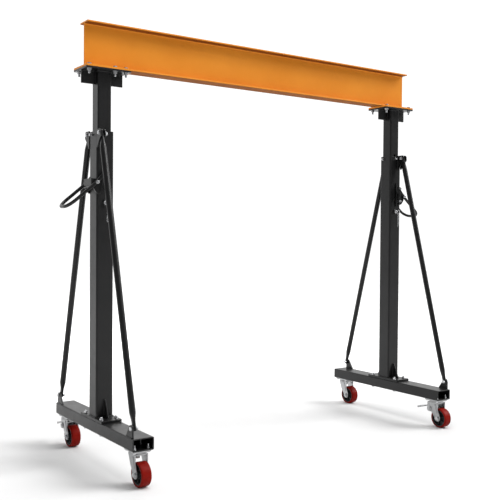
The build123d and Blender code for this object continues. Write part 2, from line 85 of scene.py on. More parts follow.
# ------------------------------------------------------------------- materials
class Tree:
    """Short hand for building a shader tree."""

    def __init__(self, name):
        self.mat = bpy.data.materials.new(name)
        self.mat.use_nodes = True
        self.nt = self.mat.node_tree
        self.nt.nodes.clear()
        self.out = self.nt.nodes.new("ShaderNodeOutputMaterial")
        self.bsdf = self.nt.nodes.new("ShaderNodeBsdfPrincipled")
        self.nt.links.new(self.bsdf.outputs[0], self.out.inputs[0])
        self.coord = self.nt.nodes.new("ShaderNodeTexCoord").outputs["Object"]
        self.geo = self.nt.nodes.new("ShaderNodeNewGeometry")

    def put(self, socket, value):
        if isinstance(value, bpy.types.NodeSocket):
            self.nt.links.new(value, socket)
        else:
            socket.default_value = value

    def scaled(self, sx, sy, sz):
        n = self.nt.nodes.new("ShaderNodeMapping")
        n.inputs["Scale"].default_value = (sx, sy, sz)
        self.nt.links.new(self.coord, n.inputs["Vector"])
        return n.outputs[0]

    def noise(self, scale, detail=4.0, rough=0.55, vector=None, distortion=0.0):
        n = self.nt.nodes.new("ShaderNodeTexNoise")
        n.inputs["Scale"].default_value = scale
        n.inputs["Detail"].default_value = detail
        n.inputs["Roughness"].default_value = rough
        n.inputs["Distortion"].default_value = distortion
        self.nt.links.new(vector or self.coord, n.inputs["Vector"])
        return n.outputs["Fac"]

    def voronoi(self, scale, feature="F1", vector=None):
        n = self.nt.nodes.new("ShaderNodeTexVoronoi")
        n.feature = feature
        n.inputs["Scale"].default_value = scale
        self.nt.links.new(vector or self.coord, n.inputs["Vector"])
        return n

    def ramp(self, value, a, b, lo=0.0, hi=1.0, smooth=True):
        n = self.nt.nodes.new("ShaderNodeMapRange")
        n.interpolation_type = "SMOOTHSTEP" if smooth else "LINEAR"
        n.clamp = True
        self.put(n.inputs[0], value)
        for i, x in enumerate((a, b, lo, hi)):
            n.inputs[1 + i].default_value = x
        return n.outputs[0]

    def math(self, op, a, b=0.0):
        n = self.nt.nodes.new("ShaderNodeMath")
        n.operation = op
        self.put(n.inputs[0], a)
        self.put(n.inputs[1], b)
        return n.outputs[0]

    def mix(self, fac, a, b, blend="MIX"):
        n = self.nt.nodes.new("ShaderNodeMix")
        n.data_type = "RGBA"
        n.blend_type = blend
        self.put(n.inputs["Factor"], fac)
        self.put(n.inputs[6], a)
        self.put(n.inputs[7], b)
        return n.outputs[2]

    def edge(self, radius=0.0016, lo=0.03, hi=0.22):
        """1 on worn outer edges, 0 on flats."""
        n = self.nt.nodes.new("ShaderNodeBevel")
        n.samples = 4
        n.inputs["Radius"].default_value = radius
        d = self.nt.nodes.new("ShaderNodeVectorMath")
        d.operation = "DOT_PRODUCT"
        self.nt.links.new(n.outputs[0], d.inputs[0])
        self.nt.links.new(self.geo.outputs["Normal"], d.inputs[1])
        off = self.math("SUBTRACT", 1.0, d.outputs["Value"])
        return self.ramp(off, lo, hi)

    def upward(self, a=0.55, b=0.95):
        n = self.nt.nodes.new("ShaderNodeSeparateXYZ")
        self.nt.links.new(self.geo.outputs["Normal"], n.inputs[0])
        return self.ramp(n.outputs[2], a, b)

    def bump(self, height, distance, strength=1.0, normal=None):
        n = self.nt.nodes.new("ShaderNodeBump")
        n.inputs["Distance"].default_value = distance
        n.inputs["Strength"].default_value = strength
        self.put(n.inputs["Height"], height)
        if normal is not None:
            self.nt.links.new(normal, n.inputs["Normal"])
        return n.outputs[0]

    def set(self, **values):
        for k, v in values.items():
            self.put(self.bsdf.inputs[k.replace("_", " ")], v)
        return self.mat


def rgb(r, g, b):
    return (r, g, b, 1.0)


def paint(name, base, light, dark, worn, rough, peel=0.00002, wear=0.35, dust=0.0, peel_scale=700.0, gloss=0.5,
          under=None):
    """Sprayed enamel or powder coat: faint mottling, orange peel, thin edges, dust on top faces, and, when under is
    given, painted shade on the downward-facing faces.
    """
    t = Tree(name)
    broad = t.noise(3.1, 3.0)
    fine = t.noise(46.0, 5.0, 0.6)
    colour = t.mix(t.ramp(broad, 0.32, 0.7), rgb(*dark), rgb(*light))
    colour = t.mix(t.ramp(fine, 0.3, 0.75, 0.0, 0.55), colour, rgb(*base))
    # short vertical handling scuffs
    scuff = t.noise(1.0, 3.0, 0.7, t.scaled(210.0, 210.0, 24.0))
    scuffs = t.math("MULTIPLY", t.ramp(scuff, 0.64, 0.72), t.ramp(t.noise(5.0, 2.0), 0.5, 0.62))
    colour = t.mix(t.math("MULTIPLY", scuffs, 0.22), colour, rgb(*worn))
    edge = t.edge()
    chips = t.ramp(t.noise(95.0, 4.0, 0.7), 0.42, 0.6)
    edged = t.math("MULTIPLY", t.math("MULTIPLY", edge, chips), wear)
    colour = t.mix(edged, colour, rgb(*worn))
    if dust:
        d = t.math("MULTIPLY", t.upward(), t.ramp(t.noise(16.0, 5.0, 0.65), 0.35, 0.8, 0.0, dust))
        colour = t.mix(d, colour, rgb(0.32, 0.30, 0.27))
    if under:
        # painted shade: the downward-facing faces get the darker under colour, standing in for the shade beneath
        # flanges and ledges
        painted_under_shade = t.math("MULTIPLY", t.upward(-0.55, -0.95), t.ramp(t.noise(7.0, 4.0, 0.6), 0.2, 0.8, 0.86, 0.96))
        colour = t.mix(painted_under_shade, colour, rgb(*under))
    r = t.ramp(t.noise(21.0, 4.0, 0.6), 0.25, 0.8, rough - 0.03, rough + 0.04)
    if under:
        r = t.math("ADD", r, t.math("MULTIPLY", painted_under_shade, 0.45))
    r = t.math("ADD", r, t.math("MULTIPLY", scuffs, 0.12))
    r = t.math("ADD", r, t.math("MULTIPLY", edged, 0.1))
    peel_h = t.noise(peel_scale, 2.0, 0.45)
    wave_h = t.noise(60.0, 1.0, 0.4)
    n = t.bump(wave_h, 0.00005, 0.35)
    n = t.bump(peel_h, peel, 0.9, n)
    return t.set(Base_Color=colour, Roughness=r, Normal=n, Metallic=0.0, Specular_IOR_Level=gloss)


def zinc(name, base, tint, dark, rough, spangle=90.0, metallic=1.0, stretch=None, smudge=0.35):
    """Zinc plate on pressed or turned steel: mottled, slightly hazy, darker in the handled spots."""
    t = Tree(name)
    cells = t.voronoi(spangle)
    spread = t.noise(14.0, 5.0, 0.6)
    colour = t.mix(t.ramp(cells.outputs["Color"], 0.2, 0.8, 0.0, 0.5), rgb(*base), rgb(*tint))
    smudged = t.ramp(spread, 0.42, 0.75, 0.0, smudge)
    colour = t.mix(smudged, colour, rgb(*dark))
    edge = t.edge(0.0012, 0.04, 0.25)
    colour = t.mix(t.math("MULTIPLY", edge, 0.5), colour, rgb(*(min(1.0, c * 1.25) for c in base)))
    r = t.ramp(t.noise(60.0, 4.0, 0.65), 0.25, 0.8, rough - 0.07, rough + 0.1)
    r = t.math("ADD", r, t.math("MULTIPLY", smudged, 0.12))
    v = t.scaled(*stretch) if stretch else t.scaled(420.0, 420.0, 420.0)
    h = t.noise(1.0, 4.0, 0.6, v)
    n = t.bump(h, 0.00003, 0.8)
    return t.set(Base_Color=colour, Roughness=r, Normal=n, Metallic=metallic)


def tread_red(name, base, dark, dusty):
    """Moulded polyurethane: slightly translucent, scuffed and dusty where it rolls."""
    t = Tree(name)
    broad = t.noise(19.0, 4.0, 0.6)
    colour = t.mix(t.ramp(broad, 0.3, 0.75), rgb(*dark), rgb(*base))
    specks = t.ramp(t.noise(260.0, 4.0, 0.7), 0.64, 0.76, 0.0, 0.2)
    colour = t.mix(specks, colour, rgb(*dusty))
    r = t.ramp(t.noise(45.0, 5.0, 0.6), 0.25, 0.8, 0.34, 0.52)
    h = t.math("ADD", t.noise(520.0, 3.0, 0.5), t.math("MULTIPLY", t.noise(38.0, 3.0), 2.5))
    n = t.bump(h, 0.00003, 0.8)
    return t.set(Base_Color=colour, Roughness=r, Normal=n, Metallic=0.0,
                 Specular_IOR_Level=0.05, Subsurface_Weight=0.03, Subsurface_Scale=0.002,
                 Subsurface_Radius=(1.0, 0.25, 0.12))


def casting(name, base, light, rough):
    """Painted iron casting: a grainy sand-cast skin."""
    t = Tree(name)
    colour = t.mix(t.ramp(t.noise(55.0, 5.0, 0.7), 0.35, 0.75), rgb(*base), rgb(*light))
    edge = t.edge(0.0014, 0.04, 0.25)
    colour = t.mix(t.math("MULTIPLY", edge, 0.35), colour, rgb(0.07, 0.07, 0.072))
    r = t.ramp(t.noise(70.0, 4.0, 0.6), 0.25, 0.8, rough - 0.08, rough + 0.1)
    grain = t.math("ADD", t.noise(330.0, 5.0, 0.65), t.math("MULTIPLY", t.noise(900.0, 2.0), 0.4))
    n = t.bump(grain, 0.00012, 0.8)
    return t.set(Base_Color=colour, Roughness=r, Normal=n, Metallic=0.0)


M = {
    # the orange coat's under colour is painted shade on its downward-facing faces
    "orange_paint": paint("orange_enamel", (0.765, 0.268, 0.025), (0.795, 0.286, 0.028), (0.73, 0.248, 0.021),
                          (0.86, 0.40, 0.10), 0.40, wear=0.4, dust=0.05, peel=0.000018, gloss=0.11,
                          under=(0.17, 0.05, 0.007)),
    "black_paint": paint("black_powder_coat", (0.0062, 0.0063, 0.0066), (0.008, 0.008, 0.0084), (0.0045, 0.0046, 0.0049),
                         (0.06, 0.06, 0.062), 0.34, wear=0.45, dust=0.06, peel=0.00003, peel_scale=520.0, gloss=0.37),
    "zinc_plate": zinc("zinc_pressed_steel", (0.47, 0.475, 0.48), (0.38, 0.385, 0.395), (0.26, 0.26, 0.26), 0.38,
                       spangle=160.0),
    "bright_steel": zinc("bright_zinc_fastener", (0.66, 0.665, 0.68), (0.57, 0.58, 0.59), (0.4, 0.4, 0.4), 0.3,
                         spangle=420.0, smudge=0.25),
    "wheel_core": casting("wheel_core_iron", (0.010, 0.0105, 0.011), (0.019, 0.0195, 0.02), 0.5),
    "red_tread": tread_red("red_polyurethane", (0.25, 0.0095, 0.005), (0.175, 0.006, 0.0034), (0.25, 0.05, 0.03)),
}


# ----------------------------------------------------------------- mesh helpers
class Mesh:
    """Collects closed shells as plain arrays, then makes one object of them."""

    def __init__(self):
        self.v, self.f, self.n = [], [], 0

    def add(self, verts, faces, matrix=None):
        verts = np.asarray(verts, float).reshape(-1, 3)
        if matrix is not None:
            verts = verts @ matrix[:3, :3].T + matrix[:3, 3]
            if np.linalg.det(matrix[:3, :3]) < 0:
                faces = [tuple(reversed(f)) for f in faces]
        self.v.append(verts)
        self.f += [tuple(i + self.n for i in f) for f in faces]
        self.n += len(verts)

    def done(self, name, body, slot, replaces=(), angle=32.0, material=None):
        me = bpy.data.meshes.new(name)
        me.from_pydata(np.concatenate(self.v).tolist(), [], self.f)
        bm = bmesh.new()
        bm.from_mesh(me)
        bmesh.ops.remove_doubles(bm, verts=bm.verts, dist=1e-7)
        bmesh.ops.dissolve_degenerate(bm, edges=bm.edges, dist=1e-7)
        bmesh.ops.recalc_face_normals(bm, faces=bm.faces)
        bm.to_mesh(me)
        bm.free()
        me.polygons.foreach_set("use_smooth", [True] * len(me.polygons))
        me.set_sharp_from_angle(angle=math.radians(angle))
        ob = bpy.data.objects.new(name, me)
        bpy.context.scene.collection.objects.link(ob)
        me.materials.append(material or M[slot])
        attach(ob, body)
        if replaces:
            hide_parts(*replaces)
        return ob


def frame_at(point, z, x=None):
    """4x4 with its Z along z, at a point in metres."""
    z = np.asarray(z, float)
    z = z / np.linalg.norm(z)
    if x is None:
        x = (1, 0, 0) if abs(z[0]) < 0.9 else (0, 1, 0)
    x = np.asarray(x, float)
    x = x - z * (x @ z)
    x = x / np.linalg.norm(x)
    y = np.cross(z, x)
    out = np.eye(4)
    out[:3, 0], out[:3, 1], out[:3, 2], out[:3, 3] = x, y, z, point
    return out


def rings_to_mesh(rings, caps=True, closed=False):
    """Faces between successive rings of the same number of points."""
    n, k = len(rings[0]), len(rings)
    faces = []
    for i in range(k if closed else k - 1):
        a, b = i * n, ((i + 1) % k) * n
        for j in range(n):
            j2 = (j + 1) % n
            faces.append((a + j, a + j2, b + j2, b + j))
    if caps and not closed:
        faces.append(tuple(reversed(range(n))))
        faces.append(tuple(range((k - 1) * n, k * n)))
    return np.concatenate(rings), faces


def lathe(profile, n=40, closed=False):
    """profile: (radius, z) in mm, revolved about Z.  closed joins the last point to the first."""
    a = np.arange(n) * 2 * math.pi / n
    c, s = np.cos(a), np.sin(a)
    rings = [np.stack([r * c, r * s, np.full(n, z)], 1) / 1000 for r, z in profile]
    return rings_to_mesh(rings, caps=not closed, closed=closed)


def hex_radius(across_flats, a):
    return (across_flats / 2) / np.cos((a + math.pi / 6) % (math.pi / 3) - math.pi / 6)


def hexagon(across_flats, h, top=True, bottom=False, bore=0.0, crown=0.0, n=72):
    """Hexagonal head or nut from z 0 to h, with the 30 degree chamfer that leaves arcs on its flats."""
    a = np.arange(n) * 2 * math.pi / n + math.pi / n
    c, s = np.cos(a), np.sin(a)
    rh = hex_radius(across_flats, a)
    r_in = across_flats / 2
    slope = math.tan(math.radians(30))

    def ring(r, z):
        return np.stack([r * c, r * s, z if hasattr(z, "__len__") else np.full(n, z)], 1) / 1000

    drop = (rh - r_in * 0.965) * slope
    rings = []
    inner = bore if bore else 0.0
    if bottom:
        rings += [ring(np.full(n, r_in * 0.965), 0.0), ring(rh, drop)]
    else:
        rings += [ring(rh, 0.0)]
    rings.append(ring(rh, h / 2))
    if top:
        rings += [ring(rh, h - drop), ring(np.full(n, r_in * 0.965), h)]
    else:
        rings += [ring(rh, h)]
    if inner:
        rings += [ring(np.full(n, inner + 1.0), h), ring(np.full(n, inner), h - 1.0),
                  ring(np.full(n, inner), 1.0), ring(np.full(n, inner + 1.0), 0.0)]
        return rings_to_mesh(rings, closed=True)
    if crown:
        rings += [ring(np.full(n, r_in * 0.7), h + crown * 0.6), ring(np.full(n, r_in * 0.3), h + crown)]
    return rings_to_mesh(rings)


def thread(r, z0, z1, pitch, n=22):
    """A threaded rod: a plain core with a helical ridge on it."""
    depth = pitch * 0.55
    out = Mesh()
    core = [(r - depth, z0), (r - depth, z1)]
    if z1 > z0:
        core = [(r - depth - 0.9, z0), (r - depth, z0 + 0.9), (r - depth, z1 - 0.9), (r - depth - 0.9, z1)]
    out.add(*lathe(core, n))
    turns = (z1 - z0 - pitch * 1.2) / pitch
    if turns > 0.5:
        k = int(turns * n)
        rings = []
        for i in range(k + 1):
            a = 2 * math.pi * i / n
            z = z0 + pitch * 0.6 + pitch * i / n
            ends = min(1.0, i / (n * 0.5), (k - i) / (n * 0.5))
            rr = r - depth - 0.25 + (depth + 0.25) * max(0.12, ends)
            ca, sa = math.cos(a), math.sin(a)
            root, w = r - depth - 0.3, pitch * 0.44
            rings.append(np.array([(root * ca, root * sa, z - w), (rr * ca, rr * sa, z - 0.12),
                                   (rr * ca, rr * sa, z + 0.12), (root * ca, root * sa, z + w)]) / 1000)
        out.add(*rings_to_mesh(rings))
    return np.concatenate(out.v), out.f


def washer(r_out, r_in, z0, z1, n=40):
    e = min(0.4, (z1 - z0) * 0.3)
    return lathe([(r_in, z0 + e), (r_in + e, z0), (r_out - e, z0), (r_out, z0 + e),
                  (r_out, z1 - e), (r_out - e, z1), (r_in + e, z1), (r_in, z1 - e)], n, closed=True)


def bolt(mesh, point, axis, head, grip, tail, r, af=None, pitch=1.75, head_h=None, nut_h=None,
         washer_t=2.0, washer_r=None, turn=0.0, nylon=False, head_washer=True, nut_at=None, head_bottom=True):
    """A hexagon bolt.  point is under the head, axis points from the head to the nut.
    grip: head to nut face; tail: length of the shank from under the head."""
    af = af or r * 3.1
    head_h = head_h or r * 1.25
    nut_h = nut_h or r * 1.6
    washer_r = washer_r or af * 0.62
    z = np.asarray(axis, float)
    x = (0, 0, 1) if abs(z[2]) < 0.9 else (1, 0, 0)
    base = frame_at(point, z, x)
    spin = np.eye(4)
    ca, sa = math.cos(math.radians(turn)), math.sin(math.radians(turn))
    spin[:2, :2] = ((ca, -sa), (sa, ca))
    base = base @ spin

    def local(dz, flip=False):
        k = np.eye(4)
        k[2, 3] = dz / 1000
        if flip:
            k = k @ np.diag((1.0, -1.0, -1.0, 1.0))
        return base @ k

    wt = washer_t if head_washer else 0.0
    if head:
        v, f = hexagon(af, head_h - wt, crown=0.0)
        mesh.add(v, f, local(-wt, True))
        # the pressed dish on the head's end
        v, f = lathe([(af * 0.31, 0.0), (af * 0.36, 0.35), (af * 0.33, 0.55), (af * 0.27, 0.4)], 36, closed=True)
        mesh.add(v, f, local(-head_h + 0.15, True))
        if wt:
            v, f = washer(washer_r, r + 0.4, 0.0, wt)
            mesh.add(v, f, local(-wt))
    nut_face = grip
    if nut_at is None:
        v, f = washer(washer_r, r + 0.4, 0.0, washer_t)
        mesh.add(v, f, local(nut_face))
        v, f = hexagon(af, nut_h, bottom=True, bore=r - 0.15)
        mesh.add(v, f, local(nut_face + washer_t))
        start = nut_face + washer_t + nut_h
        if nylon:
            v, f = lathe([(af * 0.44, 0.0), (af * 0.44, 1.4), (af * 0.40, 2.4), (r + 0.2, 2.4), (r + 0.2, 0.0)], 36,
                         closed=True)
            mesh.add(v, f, local(start - 0.2))
    v, f = lathe([(r - 0.4, -0.5), (r - 0.1, 0.2), (r - 0.1, grip * 0.5), (r - 0.9, grip * 0.5 + 0.6),
                  (r - 0.9, min(grip + 3.0, tail - 1.5))], 26)
    mesh.add(v, f, local(0.0))
    v, f = thread(r, max(grip * 0.6, grip - 4.0), tail, pitch)
    mesh.add(v, f, local(0.0))


def resample(points, step, closed=False):
    pts = [np.asarray(p, float) for p in points]
    if closed:
        pts = pts + [pts[0]]
    pts = np.array(pts)
    d = np.linalg.norm(np.diff(pts, axis=0), axis=1)
    s = np.concatenate([[0], np.cumsum(d)])
    n = max(2, int(round(s[-1] / step)))
    at = np.linspace(0, s[-1], n + 1)
    out = np.stack([np.interp(at, s, pts[:, i]) for i in range(3)], 1)
    return (out[:-1], s[-1]) if closed else (out, s[-1])


def sweep(path, radius, n=10, closed=False, caps=True, flat=1.0):
    """Tube along points in metres; radius is a number or one per point, in metres."""
    path = np.asarray(path, float)
    k = len(path)
    rad = np.full(k, radius) if np.isscalar(radius) else np.asarray(radius, float)
    if closed:
        tang = np.roll(path, -1, 0) - np.roll(path, 1, 0)
    else:
        tang = np.gradient(path, axis=0)
    tang /= np.maximum(np.linalg.norm(tang, axis=1), 1e-12)[:, None]
    ref = np.array((0, 0, 1.0)) if abs(tang[0][2]) < 0.9 else np.array((1.0, 0, 0))
    x = np.cross(ref, tang[0])
    x /= np.linalg.norm(x)
    xs = [x]
    for i in range(1, k):
        x = xs[-1] - tang[i] * (xs[-1] @ tang[i])
        x /= np.linalg.norm(x)
        xs.append(x)
    xs = np.array(xs)
    if closed:      # spread the twist left at the join
        back = xs[-1] - tang[0] * (xs[-1] @ tang[0])
        back /= np.linalg.norm(back)
        ang = math.atan2(np.cross(back, xs[0]) @ tang[0], back @ xs[0])
        for i in range(k):
            w = ang * (i + 1) / k if i else 0.0
            y = np.cross(tang[i], xs[i])
            xs[i] = xs[i] * math.cos(w) + y * math.sin(w)
    a = np.arange(n) * 2 * math.pi / n
    rings = []
    for i in range(k):
        y = np.cross(tang[i], xs[i])
        rings.append(path[i] + rad[i] * (np.outer(np.cos(a), xs[i]) + flat * np.outer(np.sin(a), y)))
    return rings_to_mesh(rings, caps=caps and not closed, closed=closed)


def bead(mesh, points, r=4.2, closed=False, pitch=4.4):
    """A weld bead: a rippled tube half sunk in its corner."""
    path, length = resample([np.asarray(p) for p in points], 0.00135, closed)
    k = len(path)
    s = np.arange(k) * (length / max(1, k if closed else k - 1)) * 1000
    ripple = 0.11 * np.abs(np.sin(math.pi * s / pitch + 0.4))
    slow = 0.06 * np.sin(s / 17.0 + rng.random() * 6) + 0.04 * np.sin(s / 7.3 + rng.random() * 6)
    rad = r * (0.95 + ripple + slow)
    if not closed:
        ends = np.minimum(1.0, np.minimum(s, s[-1] - s) / (r * 0.9) + 0.25)
        rad = rad * np.sqrt(np.clip(ends, 0.05, 1.0))
    mesh.add(*sweep(path, rad / 1000, 8, closed))


# ------------------------------------------------------- CAD nodes that stay
def dress(node, width=0.0008, segments=2, angle=30.0):
    """Gives a CAD node its material and softly rounded edges; its own mesh isn't changed."""
    ob = NODES[node]
    me = ob.data
    if me.attributes.get("custom_normal"):
        me.attributes.remove(me.attributes["custom_normal"])
    me.polygons.foreach_set("use_smooth", [True] * len(me.polygons))
    w = ob.modifiers.new("weld", "WELD")
    w.merge_threshold = 1e-6
    d = ob.modifiers.new("plain", "DECIMATE")
    d.decimate_type = "DISSOLVE"
    d.angle_limit = math.radians(0.35)
    if width:
        b = ob.modifiers.new("edges", "BEVEL")
        b.width = width
        b.segments = segments
        b.limit_method = "ANGLE"
        b.angle_limit = math.radians(angle)
        b.miter_outer = "MITER_ARC"
        b.use_clamp_overlap = False
        b.profile = 0.6
    n = ob.modifiers.new("shade", "WEIGHTED_NORMAL")
    n.keep_sharp = True
    n.weight = 80
    me.materials.clear()
    for s in frame["record"]["subparts"]:
        if s["node"] == node:
            me.materials.append(M[s["material_slot"]])
    return ob


for node in NODES:
    if node.startswith(("beam", "post_heads", "inner_mast", "base_beam", "outer_post", "foot_plate",
                        "brace_brackets", "lever_bracket")):
        dress(node, 0.0006, angle=45)
    elif node.startswith(("lifting_lever", "lifting_links", "lock_pin", "caster_plates", "fork", "brake_pedal")):
        dress(node, 0.0005, angle=45)
    else:
        dress(node, 0.0004)


# -------------------------------------------------------------- beam and heads
Z_BEAM, Z_JOINT, Z_HEAD = 2188.0, 2178.0, 2168.0

mesh = Mesh()
for sx in (-1, 1):
    xc = sx * (SX - PLATE_IN)
    pts = [(xc + i * 108.0, j * 70.0) for i in (-1, 1) for j in (-1, 1)]
    if sx < 0:
        pts += [(-SX + 46.0, j * 70.0) for j in (-1, 1)]
    for k, (px, py) in enumerate(pts):
        bolt(mesh, P(px, py, Z_BEAM), (0, 0, -1), True, 20.0, 48.0, 7.0, af=21.4, pitch=2.0, head_h=9.0,
             nut_h=9.8, washer_t=2.0, washer_r=13.4, turn=float(rng.uniform(0, 60)))
mesh.done("head_bolts_detailed", "upper", "bright_steel", ["head_bolts"])

mesh = Mesh()
for sx in (-1, 1):
    xc = sx * (SX - PLATE_IN)
    inner, outer = xc - sx * 128.0, sx * 1219.0
    for s in (-1, 1):
        bead(mesh, [P(inner, s * 52.0, Z_BEAM + 1.2), P(outer, s * 52.0, Z_BEAM + 1.2)], 4.4)
    bead(mesh, [P(outer + sx * 1.2, -50, Z_BEAM + 1.2), P(outer + sx * 1.2, 50, Z_BEAM + 1.2)], 4.4)
    bead(mesh, [P(inner - sx * 2.0, -46, Z_BEAM - 1.8), P(inner - sx * 2.0, 46, Z_BEAM - 1.8)], 3.4)
mesh.done("beam_weld_beads", "upper", "orange_paint")

mesh = Mesh()


def round_square(cx, half, r, z, gap=1.0):
    pts = []
    h = half + gap
    for (ax, ay, a0) in ((1, 1, 0), (-1, 1, 90), (-1, -1, 180), (1, -1, 270)):
        for k in range(7):
            a = math.radians(a0 + k * 15)
            pts.append(P(cx + ax * (half - r) + (r + gap) * math.cos(a), ay * (half - r) + (r + gap) * math.sin(a), z))
    return pts


for sx in (-1, 1):
    X = sx * SX
    bead(mesh, round_square(X, 40.0, 9.0, Z_HEAD - 1.2), 4.4, closed=True)
    for s in (-1, 1):
        for t in (-1, 1):
            bead(mesh, [P(X + s * 41.2, t * 6.2, Z_HEAD - 66), P(X + s * 41.2, t * 6.2, Z_HEAD - 3)], 3.6)
            bead(mesh, [P(X + s * 43.0, t * 6.2, Z_HEAD - 1.2), P(X + s * 119.0, t * 6.2, Z_HEAD - 1.2)], 3.6)
mesh.done("head_weld_beads", "upper", "black_paint")


# ------------------------------------------------------------------- each leg
def flat_section(w, d, r, n):
    """n points of a rounded rectangle, evenly spread by angle index, as (x, y) in mm."""
    pts = []
    per = n // 4
    for (ax, ay, a0) in ((1, 1, 0), (-1, 1, 90), (-1, -1, 180), (1, -1, 270)):
        for k in range(per):
            a = math.radians(a0 + 90.0 * (k + 0.5) / per)
            pts.append((ax * (w / 2 - r) + r * math.cos(a), ay * (d / 2 - r) + r * math.sin(a)))
    return np.array(pts)


def smooth(t):
    t = min(1.0, max(0.0, t))
    return t * t * (3 - 2 * t)


def brace(mesh, a, b, x_axis, n=48):
    """A tube whose ends are pressed flat and rounded round their bolts."""
    d = b - a
    run = np.linalg.norm(d) * 1000
    base = frame_at(a, d, x_axis)
    ang = (np.arange(n) + 0.5) * 2 * math.pi / n
    circle = np.stack([17.0 * np.cos(ang), 17.0 * np.sin(ang)], 1)
    rings = []

    def ring(z, w, squeeze, wide):
        sec = flat_section(16.0, wide, 7.6, n)
        sec = circle * (1 - w) + sec * w
        sec = sec * (np.array([1.0, squeeze]))
        return np.stack([sec[:, 0], sec[:, 1], np.full(n, z)], 1) / 1000

    def end(wide, over):
        out = []
        for q in (0.99, 0.97, 0.925, 0.85, 0.74, 0.61, 0.45, 0.26, 0.05):
            z = -over * q
            out.append((z, 1.0, max(0.06, min(1.0, math.sqrt(1 - q * q) * over / (wide / 2) * 1.12)), wide))
        out += [(z, 1.0, 1.0, wide) for z in (4.0, 16.0, 32.0)]
        for k in range(1, 15):
            z = 32.0 + (88.0 - 32.0) * k / 14
            out.append((z, 1.0 - smooth((z - 32.0) / 56.0), 1.0, wide))
        return out

    for e in end(31.0, 18.8):
        rings.append(ring(*e))
    for k in range(1, 8):
        rings.append(ring(88.0 + (run - 176.0) * k / 8, 0.0, 1.0, 31.0))
    for z, w, q, wide in reversed(end(26.0, 13.8)):
        rings.append(ring(run - z, w, q, wide))
    mesh.add(*rings_to_mesh(rings), base)


